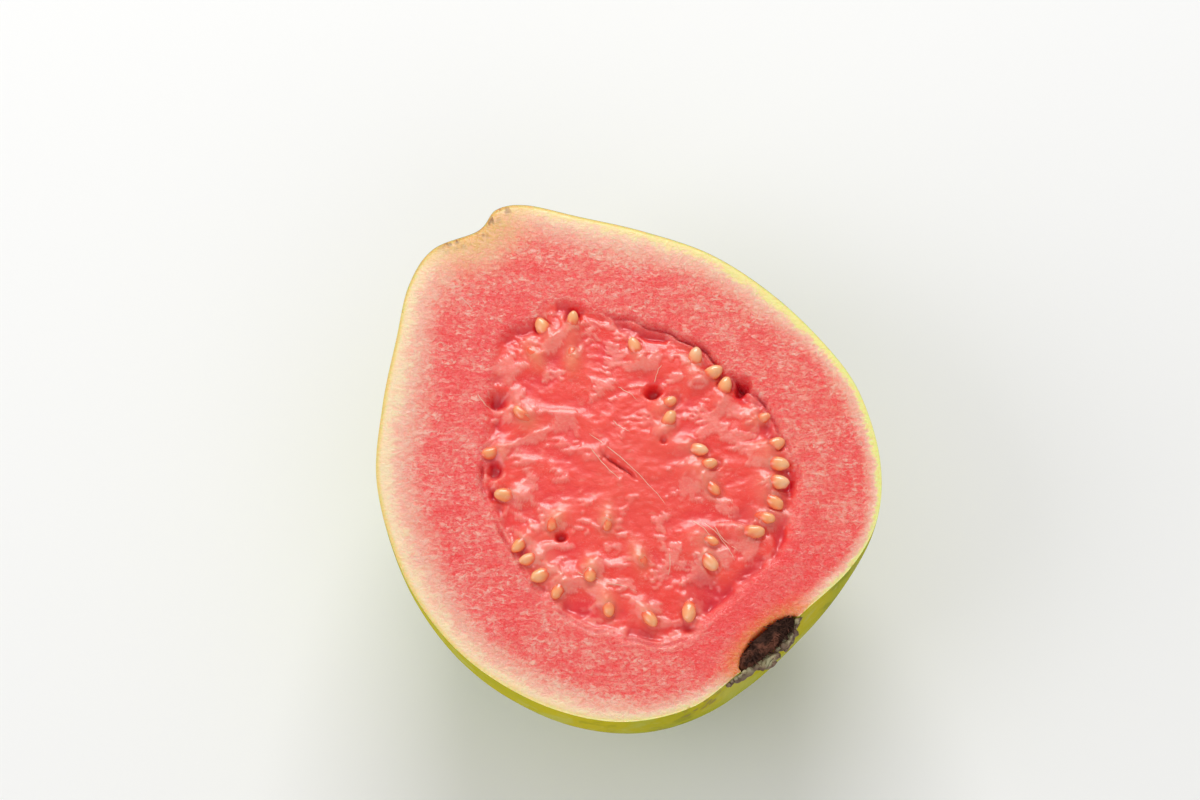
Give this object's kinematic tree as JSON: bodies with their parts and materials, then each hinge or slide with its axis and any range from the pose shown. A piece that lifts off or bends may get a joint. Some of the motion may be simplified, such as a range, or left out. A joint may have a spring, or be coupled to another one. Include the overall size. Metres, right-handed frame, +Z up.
{
  "type": "guava half",
  "caption": "Half of a ripe pink guava, cut lengthwise, lying on its rounded green skin with the seeded pulp facing up.",
  "frame": {"origin": "on the surface the half lies on, under the middle of its bounding box", "axes": "+Z up, out of the cut face; +Y along the fruit from the dried calyx to the stalk end; +X to the right seen from above with the stalk end away"},
  "size_m": [0.0754, 0.0866, 0.0379],
  "materials": {
    "flesh": "gloss",
    "skin": "satin",
    "seed": "gloss",
    "calyx": "matte"
  },
  "bodies": {
    "root": {"guava_half": "flesh", "calyx": "calyx"}
  },
  "joints": []
}
